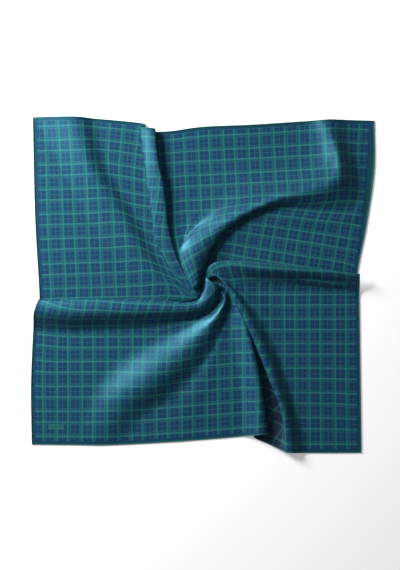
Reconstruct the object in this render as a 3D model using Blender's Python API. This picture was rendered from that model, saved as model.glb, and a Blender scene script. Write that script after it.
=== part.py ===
"""A square silk scarf laid out flat and pinched together at its centre.

One cut square of silk, 900 mm a side, with its rolled hem. It lies on a surface. Four folds run from the
middle of its sides to a swirl at the centre and pull its quarters together like a pinwheel.
Metres, +Z up, underside at Z = 0, and +Y is the side that is the top of the view from above.
"""
import bmesh
import bpy
from mathutils import Vector

# Driving sizes
SIDE = 0.900             # one side of the flat cloth
SHEET = 0.0015           # thickness of the solid, cloth with its air
PLAN_SIDE = 378.0        # plan units along one side of the flat cloth
UNIT = SIDE / PLAN_SIDE  # one plan unit, about 2.4 mm
CENTRE = (202.84, 285.0)  # plan point that becomes X = 0, Y = 0
FLAT = 0.5 * SHEET       # lowest height of the cloth's middle surface
SWIRL = (202.0, 284.0, 1.0)

# How finely the cloth is divided between the stations along a fold, and across the folds
STEPS = (6, 4, 5, 4, 4, 2)
ACROSS = 16.0

# The lines that the cloth follows from its hem to the swirl, clockwise from the far left corner.
# A row holds a name and then the plan place and height (x to the right, y towards the near side, height)
# at six stations, all in plan units: at the hem, far out, outer, middle, inner, and where the line goes
# into the swirl. A corner row has a name that ends in "corner".
LINES = (
    ("far left corner", (33, 117.1, 0), (64, 176, 0), (95, 232, 0),
     (140, 284, .8), (162, 297, 1), (195.5, 299, 1.8)),
    ("far left ridge", (78, 117.2, 6.6), (92, 168, 7), (120, 212, 5.6),
     (151, 266, 4.4), (171, 284, 3.6), (196.5, 298, 2.8)),
    ("far left valley", (93.4, 118.4, .4), (106, 165, .2), (131, 207, .3),
     (159, 259, .7), (177, 279, 1.2), (197.2, 296.8, 2)),
    ("far fold under edge", (145.2, 124.3, 1.7), (150, 168, 1.7), (152.8, 190, 1.7),
     (163, 251, 1.5), (180.4, 276, 1.5), (197.3, 295.6, 2.2)),
    ("far fold between", (142.4, 125.8, 2.8), (147.6, 168, 2.9), (150.6, 190, 2.9),
     (161, 250, 2.5), (179.2, 276.6, 2.5), (197.3, 295.8, 2.8)),
    ("far fold near edge", (139.4, 127.2, 3.9), (144.6, 167, 4), (148.2, 190, 4),
     (158.6, 248, 3.6), (178, 277, 3.5), (197.3, 296, 3.4)),
    ("far fold crest", (147, 128, 7.2), (151.6, 167, 7.4), (155.4, 189, 6.8),
     (164, 242, 4.4), (181, 273, 4), (197.4, 295.2, 3.6)),
    ("far fold edge", (155.4, 129.4, 8), (159.6, 166, 8.6), (164, 184, 8),
     (170.5, 237, 4.8), (182.2, 269, 3.8), (197.5, 294.9, 3.8)),
    ("far fold tuck", (154.2, 131.4, 1.6), (158.8, 167, 1.6), (163.2, 185, 1.6),
     (171.5, 236.5, 1.8), (182.2, 267, 2.8), (197.6, 294.6, 3.8)),
    ("far fold foot", (170, 131.1, 0), (177, 166, 0), (181.5, 184, .1),
     (183.5, 231, .5), (183, 264, 2), (197.2, 294.6, 3.6)),
    ("far side left", (200, 127, .4), (212, 152, .4), (211, 178, .8),
     (190, 224, .9), (181.6, 258, 1.8), (196.9, 294, 3.8)),
    ("far side", (250, 124.7, .2), (259, 150, .4), (238, 183, 2.4),
     (199, 219, 1.2), (180.6, 255, 2), (196.6, 293.3, 4)),
    ("diagonal foot", (310, 120.9, 1), (313, 155, 2.8), (256, 191, 4.8),
     (207, 217.6, 2.4), (180.6, 251.6, 2.2), (196.2, 292.4, 4.4)),
    ("diagonal ridge", (323, 120.3, 5.4), (330, 168.6, 9), (269, 197.4, 7),
     (212, 222.4, 5.4), (180, 249, 6.4), (194.4, 289, 6.4)),
    ("sleeve", (329, 119.9, 6), (337, 180, 12), (269.5, 202.4, 8.8),
     (220.4, 228.4, 9.4), (197, 258, 11.8), (197.8, 286, 10)),
    ("sleeve edge", (337, 119.9, 4), (344.5, 191.4, 6.2), (269.5, 207, 5),
     (224.6, 231.8, 6.4), (206, 264, 5.4), (200, 284.6, 5.4)),
    ("sleeve tuck", (346.6, 120, 1.4), (354.5, 203, 1), (269, 208.4, 1.2),
     (217, 229.4, 1.2), (197, 262, 2), (200.2, 284, 2.2)),
    ("diagonal valley", (357.6, 120.3, .3), (357, 215, .8), (268, 219, 1.4),
     (236, 240, 1), (212, 261, 1), (206, 272, 1.4)),
    ("far right corner", (374, 120.8, 0), (359, 224, .2), (298, 237, 0),
     (250, 252, 0), (217, 265, .5), (207, 273, 1.3)),
    ("right side lift", (374.1, 168, .6), (358, 235, .3), (306, 248, 0),
     (254, 258, 0), (222, 268, .5), (208, 274, 1.2)),
    ("right side far", (366.4, 225, .4), (352.5, 252, 0), (310, 260, 0),
     (260, 264, 0), (226, 271, .5), (209, 275, 1.1)),
    ("right fold bed", (357.6, 274, 0), (335, 274, 0), (308, 272, 0),
     (262, 270, 0), (228, 275, .5), (210, 276, 1.1)),
    ("right fold tuck", (357.3, 291, .8), (335, 289, .8), (308, 286, .8),
     (261, 281, .8), (228, 279.5, 1), (210.5, 277, 1.4)),
    ("right fold edge", (358.6, 274.2, 11.6), (336, 271, 14.2), (308, 267.6, 14.4),
     (262, 262.8, 13.6), (226, 261, 9.8), (210.5, 265, 7)),
    ("right fold crest", (358.8, 279, 10.8), (337, 276, 13.2), (309, 273, 13.2),
     (262, 270, 12.4), (227.5, 266, 9.4), (212.5, 267.5, 7.5)),
    ("right fold slope", (359.3, 288.4, 3.4), (337.5, 285.4, 3.4), (309, 282.4, 3.4),
     (262, 279.6, 3.6), (230, 274, 6.8), (212.8, 269.4, 7.2)),
    ("right fold foot", (359.4, 298, .4), (337, 294.6, .3), (307, 291.4, .4),
     (261, 287.4, 1), (233, 281.6, 4), (213.4, 271, 7)),
    ("near right corner", (361.3, 452.8, 0), (322, 393, 0), (293, 345, 0),
     (262, 307, 2), (236, 288, 5.2), (214, 272.4, 7)),
    ("near right crease", (303.6, 452.9, 1.4), (296, 417, .8), (279.5, 362, .8),
     (258, 317, 2), (235.4, 290, 4.4), (214.4, 273.6, 7)),
    ("near fold crest", (292.4, 452.3, 8), (286, 415, 9), (269.4, 366, 9.5),
     (250, 321, 9), (232.6, 291, 8), (214.8, 274.8, 7.2)),
    ("near fold edge", (286, 451.8, 7.5), (281, 413, 8.5), (264, 367, 8.6),
     (244.6, 321, 8.4), (228.6, 291.6, 7.6), (215, 276, 6.8)),
    ("near fold inside", (282.6, 450.4, 5), (284.5, 414, 2.4), (267.5, 369, 2.2),
     (248, 322, 2.2), (231, 291.4, 2.6), (218.4, 278.6, 3)),
    ("near fold slope", (270, 444.6, 2), (270, 412, .9), (258, 370, .9),
     (243, 323, 1), (229, 292.4, 1.4), (219, 280.4, 2)),
    ("near fold tuck", (254, 436.9, .8), (250, 407, .8), (247, 373, .8),
     (238, 325, .9), (227, 294, 1.2), (219, 282.4, 1.6)),
    ("near left lip", (268.4, 433.3, 5.6), (264.6, 403, 6.6), (260, 373.5, 6.8),
     (247.4, 326, 5.6), (234, 299.5, 3.4), (223.5, 285.5, 3)),
    ("near left crest", (261, 434, 9.4), (259.4, 404, 10.8), (255.8, 375.6, 10.8),
     (245, 327.2, 7.6), (233.4, 302, 3.8), (224.8, 288, 3.2)),
    ("near left valley", (243.6, 436.3, .8), (242.8, 407, .7), (240.4, 379.5, .6),
     (233.4, 331, .9), (231.6, 306, 1.6), (226, 290.4, 2.6)),
    ("near side", (180, 441.5, .8), (186, 412, 1), (201, 386, 1.2),
     (220, 342, .8), (229.4, 309.6, 1), (226.6, 292.6, 3.6)),
    ("long ridge foot", (125, 444.6, 0), (140, 419, .6), (169, 395, 1),
     (207, 354, 1.1), (226, 312.4, 2), (226.4, 294.4, 5)),
    ("long ridge", (101, 445.4, .6), (119.5, 405.5, 7), (149.5, 382, 9.4),
     (191, 347, 7.2), (219.6, 312, 7.2), (224.4, 296, 7)),
    ("long ridge back", (74, 445.1, 0), (94, 390.5, .4), (124, 359.5, .8),
     (173, 334.5, 1), (212.4, 312.8, 2.6), (221.6, 296.4, 2.2)),
    ("near left corner", (32, 444.6, 0), (68, 370, 0), (106, 345, 0),
     (158, 331.6, .5), (210.6, 312.6, 1.4), (220.8, 292.6, 1.6)),
    ("left side near", (31.1, 385, 0), (70, 346, 0), (105, 337, 0),
     (153, 330, .4), (206.4, 317, 1), (217.2, 298.2, 1.6)),
    ("left roll foot", (33.2, 329.4, .2), (70, 331.6, .2), (102, 330, .2),
     (149, 327.2, .3), (208.6, 311.6, 1.2), (220.2, 288.4, 1.6)),
    ("left roll edge", (33.9, 321.2, 4.8), (68, 322.8, 6), (100, 321.6, 6),
     (148, 319.6, 5.8), (206.6, 308.4, 6), (218.2, 284.6, 7.4)),
    ("left roll top", (34.9, 312.6, 11), (70, 314, 12.8), (101, 312.8, 12.8),
     (149, 310.8, 12), (203.4, 304.4, 9.8), (213.6, 283, 9.8)),
    ("left roll crest", (39.8, 299.4, 8.8), (71, 299.4, 9.6), (101, 298.8, 9.6),
     (150, 299.8, 8.8), (198.6, 299.4, 7.6), (205.6, 277.6, 7.4)),
    ("left roll tuck", (39, 319, .9), (71, 312, .9), (101, 309, .9),
     (149, 306, .9), (198, 304, 1.4), (207, 284, 3)),
    ("left fold bed", (39.4, 298.5, 0), (71, 298, 0), (100, 296.5, .4),
     (147, 296.5, .6), (190, 299.5, 1.2), (197, 299.2, 1.6)),
    ("left side far", (35.2, 220, 0), (66, 240, 0), (98, 262, 0),
     (143, 290, .6), (178, 298.5, 1.1), (196.5, 299, 1.7)),
)


def curve_point(before, start, end, after, share):
    """A point on the smooth curve through four points, between the two in the middle."""
    gap_in = max((start - before).length, 1e-4) ** 0.5
    gap = max((end - start).length, 1e-4) ** 0.5
    gap_out = max((after - end).length, 1e-4) ** 0.5
    lead = (start - before) / gap_in - (end - before) / (gap_in + gap) + (end - start) / gap
    trail = (end - start) / gap - (after - start) / (gap + gap_out) + (after - end) / gap_out
    lead, trail = lead * gap, trail * gap
    square, cube = share * share, share * share * share
    return (start * (2 * cube - 3 * square + 1) + lead * (cube - 2 * square + share)
            + end * (3 * square - 2 * cube) + trail * (cube - square))


def plan_to_model(point):
    """Plan units to metres, and the cloth's middle surface never lower than half its thickness."""
    return Vector(((point[0] - CENTRE[0]) * UNIT, (CENTRE[1] - point[1]) * UNIT, max(point[2] * UNIT, FLAT)))


def line_points(row):
    """The points of one line from the hem to the swirl, with STEPS divisions between its stations."""
    stations = [Vector(p) for p in row[1:]] + [Vector(SWIRL)]
    points = []
    for i, steps in enumerate(STEPS):
        start, end = stations[i], stations[i + 1]
        before = stations[i - 1] if i else start * 2 - end
        after = stations[i + 2] if i + 2 < len(stations) else end * 2 - start
        for k in range(steps):
            points.append(curve_point(before, start, end, after, k / steps))
    return points


def rings():
    """The cloth's points ring by ring, from the hem inwards, each ring running round all the lines."""
    lines = [line_points(row) for row in LINES]
    corner = [row[0].endswith("corner") for row in LINES]
    count = len(lines)
    loops = [[] for _ in lines[0]]
    for i in range(count):
        here, there = lines[i], lines[(i + 1) % count]
        longest = max((b - a).length for a, b in zip(here, there))
        parts = max(1, round(longest / ACROSS))
        for ring, (start, end) in enumerate(zip(here, there)):
            sharp = max(0.0, 1.0 - ring / STEPS[0])
            before = lines[i - 1][ring]
            after = lines[(i + 2) % count][ring]
            if corner[i]:
                before = before.lerp(start * 2 - end, sharp)
            if corner[(i + 1) % count]:
                after = after.lerp(end * 2 - start, sharp)
            for k in range(parts):
                loops[ring].append(plan_to_model(curve_point(before, start, end, after, k / parts)))
    return loops


def make_scarf():
    mesh = bpy.data.meshes.new("scarf")
    bm = bmesh.new()
    grid = [[bm.verts.new(p) for p in loop] for loop in rings()]
    middle = bm.verts.new(plan_to_model(SWIRL))
    count = len(grid[0])
    for outer, inner in zip(grid, grid[1:]):
        for k in range(count):
            n = (k + 1) % count
            bm.faces.new((outer[k], inner[k], inner[n], outer[n]))
    for k in range(count):
        bm.faces.new((grid[-1][k], middle, grid[-1][(k + 1) % count]))
    for face in bm.faces:
        face.smooth = True
    bm.to_mesh(mesh)
    bm.free()
    scarf = bpy.data.objects.new("scarf", mesh)
    bpy.context.scene.collection.objects.link(scarf)
    skin = scarf.modifiers.new("Thickness", "SOLIDIFY")
    skin.thickness = SHEET
    skin.offset = 0.0
    skin.use_even_offset = False
    return scarf


def make_silk():
    silk = bpy.data.materials.new("silk")
    silk.use_nodes = True
    shader = silk.node_tree.nodes["Principled BSDF"]
    shader.inputs["Base Color"].default_value = (0.02, 0.09, 0.14, 1.0)
    shader.inputs["Roughness"].default_value = 0.45
    shader.inputs["Metallic"].default_value = 0.0
    return silk


for old in list(bpy.data.objects):
    bpy.data.objects.remove(old, do_unlink=True)
make_scarf().data.materials.append(make_silk())
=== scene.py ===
"""A checked silk scarf, laid out flat and gathered into a swirl at its centre.

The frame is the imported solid. This script lays a thin sheet of silk on the same folds, draws the check
along the threads of the flat cloth, and rolls and stitches the hem.
"""
import math

import bmesh
import bpy
import numpy as np
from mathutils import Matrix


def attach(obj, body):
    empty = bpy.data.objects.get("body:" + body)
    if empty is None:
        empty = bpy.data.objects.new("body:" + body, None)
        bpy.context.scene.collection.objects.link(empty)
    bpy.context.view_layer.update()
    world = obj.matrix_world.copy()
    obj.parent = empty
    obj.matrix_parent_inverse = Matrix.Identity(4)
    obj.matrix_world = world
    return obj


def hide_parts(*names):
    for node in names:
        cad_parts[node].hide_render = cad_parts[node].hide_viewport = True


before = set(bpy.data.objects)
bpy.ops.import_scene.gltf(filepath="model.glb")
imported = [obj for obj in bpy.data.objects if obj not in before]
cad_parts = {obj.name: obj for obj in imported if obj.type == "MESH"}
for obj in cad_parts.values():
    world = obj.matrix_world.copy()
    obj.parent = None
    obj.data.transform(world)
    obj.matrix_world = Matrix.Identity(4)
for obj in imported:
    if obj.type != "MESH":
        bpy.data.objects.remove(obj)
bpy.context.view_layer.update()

# Sizes of the scarf, shared with its solid. Metres, or plan units of 1/378 of the flat cloth's side.
SIDE = 0.900
UNIT = SIDE / 378.0
# The flat cloth in plan units, and the plan place of the model's origin.
CLOTH = (378.0, 376.0)
CENTRE = (202.84, 285.0)
# The height of the solid's middle where it lies flat, and the thickness of the silk, in metres.
FLAT = 0.00075
SILK_THICK = 0.0004
# The middle of the swirl: its plan place and height, and its place on the flat cloth.
SWIRL = (202.0, 284.0, 1.0)
SWIRL_CLOTH = (198.0, 194.0)
# The sheet's grid: its steps from one station to the next, and about how far apart its columns may stand,
# in plan units.
STEPS = (34, 22, 22, 16, 12, 5)
ACROSS = 3.9

# The rolled hem, in metres.
ROLL_RADIUS = 0.0013
STITCH_SPACING = 0.006
STITCH_LENGTH = 0.0019
THREAD_RADIUS = 0.00022

# The check, across and along the flat cloth: its repeat and its first line, in plan units.
REPEAT = (25.2, 24.6)
FIRST_LINE = (11.3, 9.1)
# The check's stripes in one repeat, as shares of it: their middles, half their width, and their soft edge.
BROAD_STRIPES = ((0.0, 0.583), 0.032, 0.014)
FINE_STRIPES = ((0.115, 0.292, 0.468, 0.792), 0.012, 0.011)
BAND_STRIPES = ((0.055, 0.528), 0.055, 0.010)
# How strongly each kind of stripe covers the ground.
BAND_COVER = 0.85
FINE_COVER = 0.7
BROAD_COVER = 0.85
# How strongly the reverse's colour, painted dark as the shade inside the near fold, covers the print, and
# how much less it does on the broad lines.
SHADED_REVERSE_COVER = 0.85
SHADED_REVERSE_LINES = 0.5
# The strips along the hem: how far each reaches in from the edge, and its soft edge, in metres.
PLAIN_STRIP = (0.0092, 0.0012)
HEM_STRIP = (0.0054, 0.0010)
# The bare patch: its middle and half its size in plan units, and its border and soft edge in metres.
PATCH_PLACE = (24.5, 358.3)
PATCH_HALF = (7.8, 2.2)
PATCH_BORDER = 0.0014
PATCH_SOFT = 0.0008
# The spacing of the twill's ribs on the cloth and on the thread, in metres.
RIB_SPACING = 0.0011
THREAD_RIBS = 0.0005

# The lamp stands low at the far left, and the room fills in the shadows.
LAMP_PLACE = (-1.58, 1.12, 1.1)
LAMP_SIDE = 0.9
LAMP_POWER = 111.0
ROOM_COLOUR = (1.0, 0.9, 1.05, 1.0)
ROOM_STRENGTH = 0.17

# The picture is 400 by 570 plan units, seen from this height.
PICTURE = (400.0, 570.0)
CAMERA_HEIGHT = 3.4

# Panels of the cloth whose threads run straight: a place on the plan, the same place on the flat cloth,
# and how far the threads of either direction are turned from the plan, in degrees.
PANELS = {
    "far left": (33.2, 117.4, 0.0, 0.0, 2.2, 1.4),
    "far middle": (139.1, 182.0, 112.1, 58.6, -5.9, -5.9),
    "far right": (226.8, 208.8, 227.6, 82.8, 2.8, 2.9),
    "right": (250.0, 247.3, 268.0, 146.3, -9.2, -9.2),
    "near right": (309.8, 368.0, 328.4, 293.7, 0.0, 0.0),
    "near left": (108.0, 435.0, 76.4, 367.5, 0.2, 0.3),
    "near middle": (207.5, 437.5, 177.2, 376.0, 0.6, 4.6),
}

# The lines that the cloth follows from its hem to the swirl, clockwise from the far left corner: a name, the
# panel it lies on (none where it is a fold between two panels), its place on the flat hem, and then the plan
# place and height at six stations: at the hem, far out, outer, middle, inner, and where it enters the swirl.
# Two more numbers at a station are its place on the flat cloth, where a fold turns the threads.
LINES = (
    ("far left corner", "far left", (0, 0),
     (33, 117.1, 0), (64, 176, 0), (95, 232, 0), (140, 284, .8), (162, 297, 1), (195.5, 299, 1.8)),
    ("far left ridge", "far left", (46.4, 0),
     (78, 117.2, 6.6), (92, 168, 7), (120, 212, 5.6), (151, 266, 4.4), (171, 284, 3.6),
     (196.5, 298, 2.8)),
    ("far left valley", None, (61.6, 0),
     (93.4, 118.4, .4), (106, 165, .2), (131, 207, .3), (159, 259, .7), (177, 279, 1.2),
     (197.2, 296.8, 2)),
    ("far fold under edge", "far middle", (112, 0),
     (145.2, 124.3, 1.7), (150, 168, 1.7), (152.8, 190, 1.7), (163, 251, 1.5), (180.4, 276, 1.5),
     (197.3, 295.6, 2.2)),
    ("far fold between", None, (119.5, 0),
     (142.4, 125.8, 2.8), (147.6, 168, 2.9), (150.6, 190, 2.9), (161, 250, 2.5), (179.2, 276.6, 2.5),
     (197.3, 295.8, 2.8)),
    ("far fold near edge", None, (127, 0),
     (139.4, 127.2, 3.9), (144.6, 167, 4, 133, 38.6), (148.2, 190, 4, 138, 61.3),
     (158.6, 248, 3.6, 157, 119), (178, 277, 3.5), (197.3, 296, 3.4)),
    ("far fold crest", None, (137.5, 0),
     (147, 128, 7.2), (151.6, 167, 7.4, 142.3, 38.2), (155.4, 189, 6.8, 148, 59.6),
     (164, 242, 4.4, 164, 112.5), (181, 273, 4), (197.4, 295.2, 3.6)),
    ("far fold edge", None, (147, 0),
     (155.4, 129.4, 8), (159.6, 166, 8.6, 151.8, 36.4), (164, 184, 8, 158.4, 54),
     (170.5, 237, 4.8, 171, 106.6), (182.2, 269, 3.8), (197.5, 294.9, 3.8)),
    ("far fold tuck", None, (156, 0),
     (154.2, 131.4, 1.6), (158.8, 167, 1.6), (163.2, 185, 1.6), (171.5, 236.5, 1.8), (182.2, 267, 2.8),
     (197.6, 294.6, 3.8)),
    ("far fold foot", "far right", (174, 0),
     (170, 131.1, 0), (177, 166, 0), (181.5, 184, .1), (183.5, 231, .5), (183, 264, 2, 176.5, 136.5),
     (197.2, 294.6, 3.6, 173, 166)),
    ("far side left", "far right", (204.3, 0),
     (200, 127, .4), (212, 152, .4), (211, 178, .8), (190, 224, .9), (181.6, 258, 1.8, 176.8, 130),
     (196.9, 294, 3.8, 175, 167)),
    ("far side", "far right", (254.6, 0),
     (250, 124.7, .2), (259, 150, .4), (238, 183, 2.4), (199, 219, 1.2), (180.6, 255, 2, 176.8, 126),
     (196.6, 293.3, 4, 176.5, 167)),
    ("diagonal foot", "far right", (314, 0),
     (310, 120.9, 1), (313, 155, 2.8), (256, 191, 4.8), (207, 217.6, 2.4),
     (180.6, 251.6, 2.2, 177, 121.4), (196.2, 292.4, 4.4, 177.5, 166.5)),
    ("diagonal ridge", None, (327.4, 0),
     (323, 120.3, 5.4), (330, 168.6, 9, 332.4, 48.2), (269, 197.4, 7, 270.2, 74.4),
     (212, 222.4, 5.4, 215.7, 106), (180, 249, 6.4, 178, 119), (194.4, 289, 6.4, 178.5, 165)),
    ("sleeve", None, (333.4, 0),
     (329, 119.9, 6), (337, 180, 12, 339.4, 61), (269.5, 202.4, 8.8, 271.5, 79.4),
     (220.4, 228.4, 9.4, 223.2, 118), (197, 258, 11.8, 193.5, 136.5), (197.8, 286, 10, 186, 166)),
    ("sleeve edge", None, (341.4, 0),
     (337, 119.9, 4), (344.5, 191.4, 6.2, 347, 73.6), (269.5, 207, 5, 273, 84.5),
     (224.6, 231.8, 6.4, 229.8, 128.4), (206, 264, 5.4, 201, 148), (200, 284.6, 5.4, 197, 168)),
    ("sleeve tuck", None, (351, 0),
     (346.6, 120, 1.4), (354.5, 203, 1, 361, 85), (269, 208.4, 1.2, 277, 97),
     (217, 229.4, 1.2, 235, 131), (197, 262, 2, 215, 158), (200.2, 284, 2.2)),
    ("diagonal valley", "right", (362, 0),
     (357.6, 120.3, .3), (357, 215, .8), (268, 219, 1.4, 279.5, 113), (236, 240, 1), (212, 261, 1),
     (206, 272, 1.4)),
    ("far right corner", "right", (378, 0),
     (374, 120.8, 0), (359, 224, .2), (298, 237, 0), (250, 252, 0), (217, 265, .5), (207, 273, 1.3)),
    ("right side lift", "right", (378, 48),
     (374.1, 168, .6), (358, 235, .3), (306, 248, 0), (254, 258, 0), (222, 268, .5), (208, 274, 1.2)),
    ("right side far", "right", (378, 104.7),
     (366.4, 225, .4), (352.5, 252, 0), (310, 260, 0), (260, 264, 0), (226, 271, .5), (209, 275, 1.1)),
    ("right fold bed", "right", (378, 153.5),
     (357.6, 274, 0), (335, 274, 0), (308, 272, 0), (262, 270, 0), (228, 275, .5), (210, 276, 1.1)),
    ("right fold tuck", None, (378, 171.5),
     (357.3, 291, .8), (335, 289, .8), (308, 286, .8), (261, 281, .8), (228, 279.5, 1),
     (210.5, 277, 1.4)),
    ("right fold edge", None, (378, 191),
     (358.6, 274.2, 11.6), (336, 271, 14.2), (308, 267.6, 14.4), (262, 262.8, 13.6), (226, 261, 9.8),
     (210.5, 265, 7)),
    ("right fold crest", None, (378, 199.5),
     (358.8, 279, 10.8), (337, 276, 13.2), (309, 273, 13.2), (262, 270, 12.4), (227.5, 266, 9.4),
     (212.5, 267.5, 7.5)),
    ("right fold slope", None, (378, 212.5),
     (359.3, 288.4, 3.4), (337.5, 285.4, 3.4), (309, 282.4, 3.4), (262, 279.6, 3.6), (230, 274, 6.8),
     (212.8, 269.4, 7.2)),
    ("right fold foot", "near right", (378, 223.7),
     (359.4, 298, .4), (337, 294.6, .3), (307, 291.4, .4), (261, 287.4, 1), (233, 281.6, 4),
     (213.4, 271, 7)),
    ("near right corner", "near right", (378, 376),
     (361.3, 452.8, 0), (322, 393, 0), (293, 345, 0), (262, 307, 2), (236, 288, 5.2), (214, 272.4, 7)),
    ("near right crease", "near right", (322, 376),
     (303.6, 452.9, 1.4), (296, 417, .8), (279.5, 362, .8), (258, 317, 2), (235.4, 290, 4.4),
     (214.4, 273.6, 7)),
    ("near fold crest", "near right", (310.6, 376),
     (292.4, 452.3, 8), (286, 415, 9), (269.4, 366, 9.5), (250, 321, 9), (232.6, 291, 8),
     (214.8, 274.8, 7.2)),
    ("near fold edge", "near right", (303.5, 376),
     (286, 451.8, 7.5), (281, 413, 8.5), (264, 367, 8.6), (244.6, 321, 8.4), (228.6, 291.6, 7.6),
     (215, 276, 6.8)),
    ("near fold inside", None, (294, 376),
     (282.6, 450.4, 5), (284.5, 414, 2.4, 276, 342.5), (267.5, 369, 2.2, 241.6, 309), (248, 322, 2.2),
     (231, 291.4, 2.6), (218.4, 278.6, 3)),
    ("near fold slope", None, (276, 376),
     (270, 444.6, 2), (270, 412, .9, 262, 346.8), (258, 370, .9, 233.4, 313.9), (243, 323, 1),
     (229, 292.4, 1.4), (219, 280.4, 2)),
    ("near fold tuck", None, (258, 376),
     (254, 436.9, .8), (250, 407, .8, 241.8, 350.8), (247, 373, .8, 224.8, 321.3), (238, 325, .9),
     (227, 294, 1.2), (219, 282.4, 1.6)),
    ("near left lip", "near middle", (238.8, 376),
     (268.4, 433.3, 5.6), (264.6, 403, 6.6), (260, 373.5, 6.8), (247.4, 326, 5.6), (234, 299.5, 3.4),
     (223.5, 285.5, 3)),
    ("near left crest", None, (232, 376),
     (261, 434, 9.4), (259.4, 404, 10.8), (255.8, 375.6, 10.8), (245, 327.2, 7.6), (233.4, 302, 3.8),
     (224.8, 288, 3.2)),
    ("near left valley", "near middle", (213.6, 376),
     (243.6, 436.3, .8), (242.8, 407, .7), (240.4, 379.5, .6), (233.4, 331, .9), (231.6, 306, 1.6),
     (226, 290.4, 2.6)),
    ("near side", "near middle", (149.8, 376),
     (180, 441.5, .8), (186, 412, 1), (201, 386, 1.2), (220, 342, .8), (229.4, 309.6, 1),
     (226.6, 292.6, 3.6)),
    ("long ridge foot", "near middle", (94, 376),
     (125, 444.6, 0), (140, 419, .6), (169, 395, 1), (207, 354, 1.1), (226, 312.4, 2),
     (226.4, 294.4, 5)),
    ("long ridge", None, (70, 376),
     (101, 445.4, .6), (119.5, 405.5, 7), (149.5, 382, 9.4), (191, 347, 7.2), (219.6, 312, 7.2),
     (224.4, 296, 7)),
    ("long ridge back", "near left", (43, 376),
     (74, 445.1, 0), (94, 390.5, .4), (124, 359.5, .8), (173, 334.5, 1), (212.4, 312.8, 2.6),
     (221.6, 296.4, 2.2)),
    ("near left corner", "near left", (0, 376),
     (32, 444.6, 0), (68, 370, 0), (106, 345, 0), (158, 331.6, .5), (210.6, 312.6, 1.4),
     (220.8, 292.6, 1.6)),
    ("left side near", "near left", (0, 317.8),
     (31.1, 385, 0), (70, 346, 0), (105, 337, 0), (153, 330, .4), (206.4, 317, 1), (217.2, 298.2, 1.6)),
    ("left roll foot", "near left", (0, 264.4),
     (33.2, 329.4, .2), (70, 331.6, .2), (102, 330, .2), (149, 327.2, .3), (208.6, 311.6, 1.2),
     (220.2, 288.4, 1.6)),
    ("left roll edge", None, (0, 252),
     (33.9, 321.2, 4.8), (68, 322.8, 6), (100, 321.6, 6), (148, 319.6, 5.8), (206.6, 308.4, 6),
     (218.2, 284.6, 7.4)),
    ("left roll top", None, (0, 241),
     (34.9, 312.6, 11), (70, 314, 12.8), (101, 312.8, 12.8), (149, 310.8, 12), (203.4, 304.4, 9.8),
     (213.6, 283, 9.8)),
    ("left roll crest", None, (0, 229),
     (39.8, 299.4, 8.8), (71, 299.4, 9.6), (101, 298.8, 9.6), (150, 299.8, 8.8), (198.6, 299.4, 7.6),
     (205.6, 277.6, 7.4)),
    ("left roll tuck", None, (0, 206),
     (39, 319, .9), (71, 312, .9), (101, 309, .9), (149, 306, .9), (198, 304, 1.4), (207, 284, 3)),
    ("left fold bed", "far left", (0, 181),
     (39.4, 298.5, 0), (71, 298, 0), (100, 296.5, .4), (147, 296.5, .6), (190, 299.5, 1.2),
     (197, 299.2, 1.6)),
    ("left side far", "far left", (0, 102.6),
     (35.2, 220, 0), (66, 240, 0), (98, 262, 0), (143, 290, .6), (178, 298.5, 1.1), (196.5, 299, 1.7)),
)

# Lines after which the cloth shows its reverse, where the near fold is turned under. There the reverse's
# colour is painted dark, as painted shade inside the fold.
TURNED_IN_SHADE = ("near fold inside", "near fold slope", "near fold tuck")


def panel_cloth(panel, x, y):
    """The place on the flat cloth of a plan place on a panel."""
    x0, y0, u0, v0, warp, weft = PANELS[panel]
    dx, dy = x - x0, y - y0
    warp, weft = math.radians(warp), math.radians(weft)
    return u0 + dx * math.cos(warp) - dy * math.sin(warp), v0 + dx * math.sin(weft) + dy * math.cos(weft)


def stations():
    """Every line's stations as x, y, height, u, v. A fold line shares out the cloth between its panels."""
    count = len(LINES)
    table = np.zeros((count, 7, 5))
    known = np.zeros((count, 7), bool)
    for i, (name, panel, hem, *places) in enumerate(LINES):
        for k, place in enumerate(places + [SWIRL]):
            table[i, k, :3] = place[:3]
            if k == 0:
                table[i, k, 3:] = hem
            elif k == 6:
                table[i, k, 3:] = SWIRL_CLOTH
            elif len(place) == 5:
                table[i, k, 3:] = place[3:]
            elif panel:
                table[i, k, 3:] = panel_cloth(panel, place[0], place[1])
            known[i, k] = k in (0, 6) or len(place) == 5 or bool(panel)
    for k in range(1, 6):
        fixed = [i for i in range(count) if known[i, k]]
        for a, b in zip(fixed, fixed[1:] + [fixed[0] + count]):
            places = [table[j % count, k, :3] for j in range(a, b + 1)]
            steps = [np.linalg.norm(q - p) for p, q in zip(places, places[1:])]
            run = np.cumsum(steps) / max(sum(steps), 1e-6)
            for j in range(a + 1, b):
                share = run[j - a - 1]
                start, end = table[a % count, k, 3:], table[b % count, k, 3:]
                table[j % count, k, 3:] = start + (end - start) * share
    return table


def curve(before, start, end, after, shares):
    """Points on the smooth curve through four points, between the two in the middle, at the given shares."""
    def root(a, b):
        gap = np.linalg.norm((b - a)[..., :3], axis=-1, keepdims=True)
        return np.sqrt(np.maximum(gap, 1e-4))

    gap_in, gap, gap_out = root(before, start), root(start, end), root(end, after)
    lead = ((start - before) / gap_in - (end - before) / (gap_in + gap) + (end - start) / gap) * gap
    trail = ((end - start) / gap - (after - start) / (gap + gap_out) + (after - end) / gap_out) * gap
    t = np.asarray(shares).reshape((-1,) + (1,) * start.ndim)
    t2 = t * t
    t3 = t * t * t
    from_start = start * (2 * t3 - 3 * t2 + 1) + lead * (t3 - 2 * t2 + t)
    return from_start + end * (3 * t2 - 2 * t3) + trail * (t3 - t2)


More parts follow.
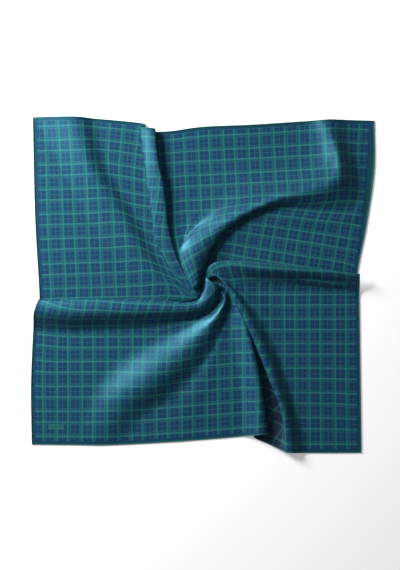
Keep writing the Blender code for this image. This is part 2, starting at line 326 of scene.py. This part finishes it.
def cloth_grid():
    """The sheet's points, ring by ring from the hem to the swirl, with their places on the flat cloth.

    With them comes a mark for each column, 1 where the cloth is turned over and gets the reverse with its
    painted shade, and 0 elsewhere.
    """
    table = stations()
    parts = []
    for k, steps in enumerate(STEPS):
        start, end = table[:, k], table[:, k + 1]
        before = table[:, k - 1] if k else start * 2 - end
        after = table[:, k + 2] if k + 2 < table.shape[1] else end * 2 - start
        parts.append(curve(before, start, end, after, np.arange(steps) / steps))
    lines = np.concatenate(parts)
    ring = np.arange(len(lines))
    sharp = np.clip(1.0 - ring / STEPS[0], 0.0, 1.0)[:, None]
    count = len(LINES)
    columns = []
    turned = []
    for i in range(count):
        j = (i + 1) % count
        before, start = lines[:, i - 1], lines[:, i]
        end, after = lines[:, j], lines[:, (i + 2) % count]
        if LINES[i][0].endswith("corner"):
            before = before + (start * 2 - end - before) * sharp
        if LINES[j][0].endswith("corner"):
            after = after + (end * 2 - start - after) * sharp
        longest = np.linalg.norm((end - start)[:, :3], axis=1).max()
        pieces = max(3, round(longest / ACROSS))
        across = curve(before, start, end, after, np.arange(pieces) / pieces)
        columns.append(np.moveaxis(across, 0, 1))
        turned += [float(LINES[i][0] in TURNED_IN_SHADE)] * pieces
    return np.concatenate(columns, axis=1), np.array(turned)


def to_model(points):
    """Plan units to metres, with the sheet never below the middle of the solid lying flat."""
    model = np.empty(points.shape[:-1] + (3,))
    model[..., 0] = (points[..., 0] - CENTRE[0]) * UNIT
    model[..., 1] = (CENTRE[1] - points[..., 1]) * UNIT
    model[..., 2] = np.maximum(points[..., 2] * UNIT, FLAT)
    return model


def link(obj):
    """Puts an object in the scene."""
    bpy.context.scene.collection.objects.link(obj)
    return obj


def make_sheet(grid, turned):
    """The sheet of silk, with its own UV map in metres on the flat cloth."""
    rings, around = grid.shape[:2]
    places = to_model(grid).reshape(-1, 3)
    middle = to_model(np.array(SWIRL + SWIRL_CLOTH))
    mesh = bpy.data.meshes.new("silk sheet")
    index = np.arange(rings * around).reshape(rings, around)
    nxt = np.roll(index, -1, axis=1)
    quads = np.stack((index[:-1], index[1:], nxt[1:], nxt[:-1]), axis=-1).reshape(-1, 4)
    tip = rings * around
    faces = quads.tolist() + [(int(a), tip, int(b)) for a, b in zip(index[-1], nxt[-1])]
    mesh.from_pydata(np.vstack((places, middle)).tolist(), [], faces)
    flat = np.vstack((grid[..., 3:].reshape(-1, 2), SWIRL_CLOTH)) * UNIT
    uv = mesh.uv_layers.new(name="flat cloth")
    corners = np.empty(len(mesh.loops), dtype=np.int32)
    mesh.loops.foreach_get("vertex_index", corners)
    uv.data.foreach_set("uv", flat[corners].astype(np.float32).ravel())
    # The mark where the reverse with its painted shade is laid on.
    mark = mesh.attributes.new("turned over", "FLOAT", "POINT")
    mark.data.foreach_set("value", np.append(np.tile(turned, rings), 0.0).astype(np.float32))
    mesh.polygons.foreach_set("use_smooth", [True] * len(mesh.polygons))
    mesh.update()
    return link(bpy.data.objects.new("silk_sheet", mesh))


def add(tree, kind, x=0, y=0, **values):
    """A new node in a tree, with its settings."""
    node = tree.nodes.new(kind)
    node.location = (x, y)
    for key, value in values.items():
        setattr(node, key, value)
    return node


def math_node(tree, operation, first, second=None, third=None, clamp=False):
    """The result of one sum, on numbers or sockets."""
    node = add(tree, "ShaderNodeMath", operation=operation, use_clamp=clamp)
    for socket, value in zip(node.inputs, (first, second, third)):
        if value is None:
            continue
        if isinstance(value, (int, float)):
            socket.default_value = value
        else:
            tree.links.new(value, socket)
    return node.outputs[0]


def mix_colour(tree, factor, first, second):
    """The first colour covered by the second as far as the factor says."""
    node = add(tree, "ShaderNodeMix", data_type="RGBA")
    pairs = ((node.inputs["Factor"], factor), (node.inputs[6], first), (node.inputs[7], second))
    for socket, value in pairs:
        if isinstance(value, (int, float, tuple)):
            socket.default_value = value
        else:
            tree.links.new(value, socket)
    return node.outputs[2]


def srgb(red, green, blue):
    """A colour given as it looks on screen, 0 to 255, made linear."""
    def linear(c):
        c /= 255.0
        return c / 12.92 if c <= 0.04045 else ((c + 0.055) / 1.055) ** 2.4

    return (linear(red), linear(green), linear(blue), 1.0)


def stripe_group():
    """Masks of one direction of the check, from the distance across the flat cloth in metres."""
    tree = bpy.data.node_groups.new("Check stripes", "ShaderNodeTree")
    for name in ("Across", "First line", "Repeat"):
        tree.interface.new_socket(name, in_out="INPUT", socket_type="NodeSocketFloat")
    for name in ("Broad line", "Fine line", "Band"):
        tree.interface.new_socket(name, in_out="OUTPUT", socket_type="NodeSocketFloat")
    start = add(tree, "NodeGroupInput", -900)
    end = add(tree, "NodeGroupOutput", 900)
    moved = math_node(tree, "SUBTRACT", start.outputs["Across"], start.outputs["First line"])
    turns = math_node(tree, "DIVIDE", moved, start.outputs["Repeat"])
    share = math_node(tree, "FRACT", turns)

    def line(place, half, soft):
        away = math_node(tree, "ABSOLUTE", math_node(tree, "SUBTRACT", share, place))
        away = math_node(tree, "MINIMUM", away, math_node(tree, "SUBTRACT", 1.0, away))
        reach = math_node(tree, "SUBTRACT", half + soft, away)
        return math_node(tree, "DIVIDE", reach, 2.0 * soft, clamp=True)

    kinds = {"Broad line": BROAD_STRIPES, "Fine line": FINE_STRIPES, "Band": BAND_STRIPES}
    for name, (places, half, soft) in kinds.items():
        result = line(places[0], half, soft)
        for place in places[1:]:
            result = math_node(tree, "MAXIMUM", result, line(place, half, soft))
        tree.links.new(result, end.inputs[name])
    return tree


def twill_group():
    """The fine slanted ribs of twill as a height, and a slight unevenness of its yarns."""
    tree = bpy.data.node_groups.new("Silk twill", "ShaderNodeTree")
    tree.interface.new_socket("Place", in_out="INPUT", socket_type="NodeSocketVector")
    tree.interface.new_socket("Rib spacing", in_out="INPUT", socket_type="NodeSocketFloat")
    tree.interface.new_socket("Height", in_out="OUTPUT", socket_type="NodeSocketFloat")
    tree.interface.new_socket("Yarn shade", in_out="OUTPUT", socket_type="NodeSocketFloat")
    start = add(tree, "NodeGroupInput", -900)
    end = add(tree, "NodeGroupOutput", 900)
    split = add(tree, "ShaderNodeSeparateXYZ", -700)
    tree.links.new(start.outputs["Place"], split.inputs[0])
    slant = math_node(tree, "ADD", split.outputs[0], split.outputs[1])
    turns = math_node(tree, "DIVIDE", slant, start.outputs["Rib spacing"])
    wave = math_node(tree, "SINE", math_node(tree, "MULTIPLY", turns, 2.0 * math.pi))
    noise = add(tree, "ShaderNodeTexNoise", -500, -300)
    noise.inputs["Scale"].default_value = 160.0
    noise.inputs["Detail"].default_value = 3.0
    tree.links.new(start.outputs["Place"], noise.inputs["Vector"])
    height = math_node(tree, "ADD", math_node(tree, "MULTIPLY", wave, 0.5), noise.outputs["Fac"])
    tree.links.new(height, end.inputs["Height"])
    tree.links.new(noise.outputs["Fac"], end.inputs["Yarn shade"])
    return tree


STRIPES = stripe_group()
TWILL = twill_group()

# The colours as they look on screen: the ground, its bands, the broad lines of either direction, where they
# cross, the fine lines, the reverse painted dark as the shade inside the near fold, the hem with its roll
# painted lighter as a painted highlight, and its thread, and the patch with its border.
NAVY = srgb(18, 50, 81)
GREEN_BAND = srgb(18, 73, 79)
BROAD = (srgb(28, 102, 93), srgb(43, 101, 107))
CROSSING = srgb(31, 119, 101)
FINE = srgb(42, 86, 104)
# Painted shade: the reverse's colour is painted dark, standing in for the shade inside the near fold.
SHADED_REVERSE = srgb(33, 22, 40)
HEM = srgb(18, 66, 65)
# Painted highlight: the roll is the hem's teal painted lighter, as where the light falls on it.
LIT_HEM_ROLL = srgb(27, 86, 84)
THREAD = srgb(34, 92, 96)
PATCH = (srgb(30, 82, 76), srgb(46, 108, 98))


def silk_shader(material, roughness):
    """Sets the gloss of silk on a material, and hands back its shader."""
    shader = material.node_tree.nodes["Principled BSDF"]
    shader.inputs["Roughness"].default_value = roughness
    shader.inputs["Metallic"].default_value = 0.0
    shader.inputs["Specular IOR Level"].default_value = 0.6
    shader.inputs["Specular Tint"].default_value = (0.22, 0.78, 1.0, 1.0)
    shader.inputs["Sheen Weight"].default_value = 0.04
    shader.inputs["Sheen Roughness"].default_value = 0.4
    shader.inputs["Sheen Tint"].default_value = (0.2, 0.75, 1.0, 1.0)
    return shader


def checked_silk():
    """Printed silk twill: the check in both directions, a plain strip inside the hem, and one bare patch."""
    material = bpy.data.materials.new("checked silk twill")
    material.use_nodes = True
    tree = material.node_tree
    shader = silk_shader(material, 0.42)
    place = add(tree, "ShaderNodeUVMap", -2200, uv_map="flat cloth")
    split = add(tree, "ShaderNodeSeparateXYZ", -2000)
    tree.links.new(place.outputs[0], split.inputs[0])
    u, v = split.outputs[0], split.outputs[1]
    masks = []
    for across, first, repeat in zip((u, v), FIRST_LINE, REPEAT):
        group = add(tree, "ShaderNodeGroup", -1700, node_tree=STRIPES)
        tree.links.new(across, group.inputs["Across"])
        group.inputs["First line"].default_value = first * UNIT
        group.inputs["Repeat"].default_value = repeat * UNIT
        masks.append(group.outputs)
    one, two = masks
    band = math_node(tree, "MAXIMUM", one["Band"], two["Band"])
    band = math_node(tree, "MULTIPLY", band, BAND_COVER)
    colour = mix_colour(tree, band, NAVY, GREEN_BAND)
    fine = math_node(tree, "ADD", one["Fine line"], two["Fine line"])
    fine = math_node(tree, "MULTIPLY", fine, FINE_COVER, clamp=True)
    colour = mix_colour(tree, fine, colour, FINE)
    for mask, shade in zip(masks, BROAD):
        broad = math_node(tree, "MULTIPLY", mask["Broad line"], BROAD_COVER)
        colour = mix_colour(tree, broad, colour, shade)
    crossing = math_node(tree, "MULTIPLY", one["Broad line"], two["Broad line"])
    colour = mix_colour(tree, crossing, colour, CROSSING)
    # The distance in from the nearest hem, and the two strips along it
    near = []
    for along, side in zip((u, v), CLOTH):
        other = math_node(tree, "SUBTRACT", side * UNIT, along)
        near.append(math_node(tree, "MINIMUM", along, other))
    inside = math_node(tree, "MINIMUM", *near)
    for (reach, soft), shade in ((PLAIN_STRIP, NAVY), (HEM_STRIP, HEM)):
        strip = math_node(tree, "SUBTRACT", reach, inside)
        strip = math_node(tree, "DIVIDE", strip, soft, clamp=True)
        colour = mix_colour(tree, strip, colour, shade)
    # The bare patch printed near one corner
    depths = []
    for along, middle, half in zip((u, v), PATCH_PLACE, PATCH_HALF):
        away = math_node(tree, "SUBTRACT", along, middle * UNIT)
        away = math_node(tree, "ABSOLUTE", away)
        depths.append(math_node(tree, "SUBTRACT", half * UNIT, away))
    depth = math_node(tree, "MINIMUM", *depths)
    for margin, shade in zip((0.0, PATCH_BORDER), reversed(PATCH)):
        patch = math_node(tree, "SUBTRACT", depth, margin)
        patch = math_node(tree, "DIVIDE", patch, PATCH_SOFT, clamp=True)
        colour = mix_colour(tree, patch, colour, shade)
    # The reverse, where the cloth is turned over, painted dark as the shade inside the near fold
    turned = add(tree, "ShaderNodeAttribute", -1000, 300, attribute_name="turned over")
    drawn = math_node(tree, "MAXIMUM", one["Broad line"], two["Broad line"])
    shaded = math_node(tree, "MULTIPLY_ADD", drawn, -SHADED_REVERSE_LINES, SHADED_REVERSE_COVER)
    back = mix_colour(tree, shaded, colour, SHADED_REVERSE)
    colour = mix_colour(tree, turned.outputs["Fac"], colour, back)
    twill = add(tree, "ShaderNodeGroup", -600, -500, node_tree=TWILL)
    tree.links.new(place.outputs[0], twill.inputs["Place"])
    twill.inputs["Rib spacing"].default_value = RIB_SPACING
    shade = math_node(tree, "MULTIPLY_ADD", twill.outputs["Yarn shade"], 0.14, 0.93)
    tint = add(tree, "ShaderNodeVectorMath", -200, operation="SCALE")
    tree.links.new(colour, tint.inputs[0])
    tree.links.new(shade, tint.inputs["Scale"])
    tree.links.new(tint.outputs[0], shader.inputs["Base Color"])
    bump = add(tree, "ShaderNodeBump", -200, -500)
    bump.inputs["Strength"].default_value = 0.35
    bump.inputs["Distance"].default_value = 0.00006
    tree.links.new(twill.outputs["Height"], bump.inputs["Height"])
    tree.links.new(bump.outputs[0], shader.inputs["Normal"])
    return material


def plain_silk(name, colour, roughness, spacing):
    """One-colour silk for the rolled hem and its thread, read in object coordinates."""
    material = bpy.data.materials.new(name)
    material.use_nodes = True
    tree = material.node_tree
    shader = silk_shader(material, roughness)
    place = add(tree, "ShaderNodeTexCoord", -1200)
    twill = add(tree, "ShaderNodeGroup", -900, node_tree=TWILL)
    tree.links.new(place.outputs["Object"], twill.inputs["Place"])
    twill.inputs["Rib spacing"].default_value = spacing
    dark = tuple(c * 0.75 for c in colour[:3]) + (1.0,)
    shade = mix_colour(tree, twill.outputs["Yarn shade"], dark, colour)
    tree.links.new(shade, shader.inputs["Base Color"])
    bump = add(tree, "ShaderNodeBump", -300, -400)
    bump.inputs["Strength"].default_value = 0.4
    bump.inputs["Distance"].default_value = 0.0001
    tree.links.new(twill.outputs["Height"], bump.inputs["Height"])
    tree.links.new(bump.outputs[0], shader.inputs["Normal"])
    return material


def hem_tree(hem_silk, thread):
    """Rolls the hem along a path and sets a slanted stitch across it at even spaces."""
    tree = bpy.data.node_groups.new("Rolled hem", "GeometryNodeTree")
    tree.interface.new_socket("Geometry", in_out="INPUT", socket_type="NodeSocketGeometry")
    for name in ("Roll radius", "Stitch spacing", "Stitch length", "Thread radius"):
        tree.interface.new_socket(name, in_out="INPUT", socket_type="NodeSocketFloat")
    tree.interface.new_socket("Geometry", in_out="OUTPUT", socket_type="NodeSocketGeometry")
    start = add(tree, "NodeGroupInput", -1000)
    end = add(tree, "NodeGroupOutput", 1000)
    path = add(tree, "GeometryNodeMeshToCurve", -800)
    tree.links.new(start.outputs["Geometry"], path.inputs["Mesh"])
    ring = add(tree, "GeometryNodeCurvePrimitiveCircle", -800, -300)
    ring.inputs["Resolution"].default_value = 8
    tree.links.new(start.outputs["Roll radius"], ring.inputs["Radius"])
    roll = add(tree, "GeometryNodeCurveToMesh", -400)
    tree.links.new(path.outputs["Curve"], roll.inputs["Curve"])
    tree.links.new(ring.outputs["Curve"], roll.inputs["Profile Curve"])
    roll_finish = add(tree, "GeometryNodeSetMaterial", -200)
    roll_finish.inputs["Material"].default_value = hem_silk
    tree.links.new(roll.outputs["Mesh"], roll_finish.inputs["Geometry"])
    spaced = add(tree, "GeometryNodeResampleCurve", -600, -500, mode="LENGTH")
    tree.links.new(path.outputs["Curve"], spaced.inputs["Curve"])
    tree.links.new(start.outputs["Stitch spacing"], spaced.inputs["Length"])
    stitch = add(tree, "GeometryNodeMeshCylinder", -600, -800)
    stitch.inputs["Vertices"].default_value = 5
    tree.links.new(start.outputs["Thread radius"], stitch.inputs["Radius"])
    tree.links.new(start.outputs["Stitch length"], stitch.inputs["Depth"])
    tangent = add(tree, "GeometryNodeInputTangent", -800, -1000)
    aim = add(tree, "FunctionNodeAlignRotationToVector", -600, -1000, axis="X")
    tree.links.new(tangent.outputs[0], aim.inputs["Vector"])
    slant = add(tree, "FunctionNodeRotateRotation", -400, -1000, rotation_space="LOCAL")
    slant.inputs["Rotate By"].default_value = (math.radians(90.0), 0.0, math.radians(35.0))
    tree.links.new(aim.outputs[0], slant.inputs["Rotation"])
    lift = add(tree, "ShaderNodeCombineXYZ", -600, -1200)
    tree.links.new(start.outputs["Roll radius"], lift.inputs["Z"])
    raised = add(tree, "GeometryNodeSetPosition", -400, -500)
    tree.links.new(spaced.outputs["Curve"], raised.inputs["Geometry"])
    tree.links.new(lift.outputs[0], raised.inputs["Offset"])
    copies = add(tree, "GeometryNodeInstanceOnPoints", -200, -500)
    tree.links.new(raised.outputs["Geometry"], copies.inputs["Points"])
    tree.links.new(stitch.outputs["Mesh"], copies.inputs["Instance"])
    tree.links.new(slant.outputs[0], copies.inputs["Rotation"])
    real = add(tree, "GeometryNodeRealizeInstances", 0, -500)
    tree.links.new(copies.outputs[0], real.inputs["Geometry"])
    thread_finish = add(tree, "GeometryNodeSetMaterial", 200, -500)
    thread_finish.inputs["Material"].default_value = thread
    tree.links.new(real.outputs[0], thread_finish.inputs["Geometry"])
    both = add(tree, "GeometryNodeJoinGeometry", 500)
    tree.links.new(roll_finish.outputs[0], both.inputs[0])
    tree.links.new(thread_finish.outputs[0], both.inputs[0])
    tree.links.new(both.outputs[0], end.inputs["Geometry"])
    return tree


def make_hem(grid, hem_silk, thread):
    """The rolled hem as a plain mesh, its roll just inside the sheet's edge."""
    edge = to_model(grid[0])
    inner = to_model(grid[1])
    inward = inner - edge
    inward /= np.maximum(np.linalg.norm(inward, axis=1, keepdims=True), 1e-6)
    path = edge + inward * ROLL_RADIUS
    path[:, 2] = np.maximum(path[:, 2], ROLL_RADIUS)
    mesh = bpy.data.meshes.new("hem path")
    count = len(path)
    mesh.from_pydata(path.tolist(), [(i, (i + 1) % count) for i in range(count)], [])
    guide = link(bpy.data.objects.new("hem path", mesh))
    tree = hem_tree(hem_silk, thread)
    layer = guide.modifiers.new("Rolled hem", "NODES")
    layer.node_group = tree
    sizes = {
        "Roll radius": ROLL_RADIUS,
        "Stitch spacing": STITCH_SPACING,
        "Stitch length": STITCH_LENGTH,
        "Thread radius": THREAD_RADIUS,
    }
    for item in tree.interface.items_tree:
        if item.item_type == "SOCKET" and item.in_out == "INPUT" and item.name in sizes:
            layer[item.identifier] = sizes[item.name]
    bpy.context.view_layer.update()
    graph = bpy.context.evaluated_depsgraph_get()
    made = bpy.data.meshes.new_from_object(guide.evaluated_get(graph))
    guide.modifiers.remove(layer)
    bpy.data.objects.remove(guide)
    made.polygons.foreach_set("use_smooth", [True] * len(made.polygons))
    return link(bpy.data.objects.new("rolled_hem", made))


def make_floor():
    """A plain pale floor, wide enough to fill the picture."""
    mesh = bpy.data.meshes.new("floor")
    bm = bmesh.new()
    bmesh.ops.create_grid(bm, x_segments=1, y_segments=1, size=6.0)
    bm.to_mesh(mesh)
    bm.free()
    floor = link(bpy.data.objects.new("floor", mesh))
    material = bpy.data.materials.new("pale paper")
    material.use_nodes = True
    shader = material.node_tree.nodes["Principled BSDF"]
    shader.inputs["Base Color"].default_value = (0.8, 0.8, 0.8, 1.0)
    shader.inputs["Emission Color"].default_value = (1.0, 1.0, 1.0, 1.0)
    shader.inputs["Emission Strength"].default_value = 0.3
    shader.inputs["Roughness"].default_value = 0.9
    shader.inputs["Specular IOR Level"].default_value = 0.1
    mesh.materials.append(material)


def make_light():
    """One soft lamp turned to the scarf's middle, in a dim room."""
    world = bpy.data.worlds.new("studio")
    world.use_nodes = True
    room = world.node_tree.nodes["Background"]
    room.inputs["Color"].default_value = ROOM_COLOUR
    room.inputs["Strength"].default_value = ROOM_STRENGTH
    bpy.context.scene.world = world
    key = bpy.data.lights.new("window light", "AREA")
    key.shape = "RECTANGLE"
    key.size = LAMP_SIDE
    key.size_y = LAMP_SIDE
    key.energy = LAMP_POWER
    lamp = link(bpy.data.objects.new("window light", key))
    lamp.location = LAMP_PLACE
    x, y, z = LAMP_PLACE
    tilt = math.atan2(math.hypot(x, y), z)
    lamp.rotation_euler = (tilt, 0.0, math.atan2(-y, -x) - math.pi / 2)


def make_camera():
    """Straight above, as the photograph is."""
    view = bpy.data.cameras.new("camera")
    view.sensor_fit = "VERTICAL"
    view.angle_y = 2.0 * math.atan(0.5 * PICTURE[1] * UNIT / CAMERA_HEIGHT)
    camera = link(bpy.data.objects.new("camera", view))
    right = (PICTURE[0] / 2 - CENTRE[0]) * UNIT
    up = (CENTRE[1] - PICTURE[1] / 2) * UNIT
    camera.location = (right, up, CAMERA_HEIGHT)
    bpy.context.scene.camera = camera


make_camera()
make_floor()
make_light()
bpy.context.scene.view_settings.view_transform = "Standard"

grid, turned = cloth_grid()
sheet = make_sheet(grid, turned)
sheet.data.materials.append(checked_silk())
thickness = sheet.modifiers.new("Thickness", "SOLIDIFY")
thickness.thickness = SILK_THICK
thickness.offset = 0.0
# The roll's colour is painted lighter than the hem strip beside it, a painted highlight.
hem_silk = plain_silk("hem silk", LIT_HEM_ROLL, 0.5, RIB_SPACING)
thread = plain_silk("hem thread", THREAD, 0.55, THREAD_RIBS)
hem = make_hem(grid, hem_silk, thread)

for piece in (sheet, hem):
    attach(piece, "root")
    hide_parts("scarf")
